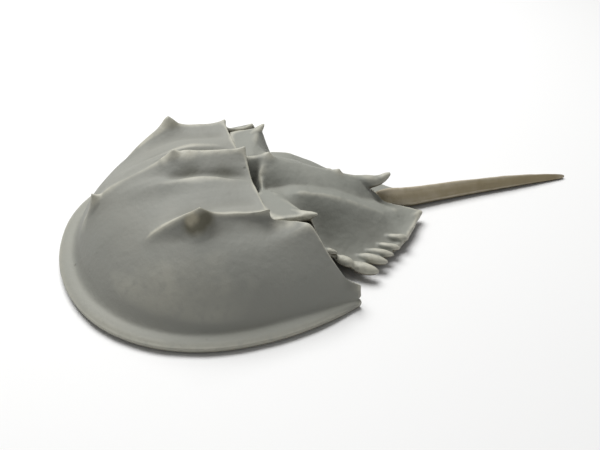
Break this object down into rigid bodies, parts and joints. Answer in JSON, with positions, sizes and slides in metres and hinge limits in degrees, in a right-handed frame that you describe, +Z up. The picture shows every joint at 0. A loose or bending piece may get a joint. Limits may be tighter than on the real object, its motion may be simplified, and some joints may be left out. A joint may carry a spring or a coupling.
{
  "type": "horseshoe crab shell",
  "caption": "Shed shell of a horseshoe crab lying on its rim, with head shield, spined abdomen shield and long tail spine",
  "frame": {"origin": "on the table under the middle of the bounding box", "axes": "+X across the shell, +Y along the middle line from the front of the head to the tip of the tail, +Z up out of the back"},
  "size_m": [0.1498, 0.2664, 0.0516],
  "materials": {
    "head_shield": "matte",
    "abdomen_shield": "matte",
    "tail_spine": "matte"
  },
  "bodies": {
    "root": {"head_shield": "head_shield", "abdomen_shield": "abdomen_shield", "tail_spine": "tail_spine"}
  },
  "joints": []
}
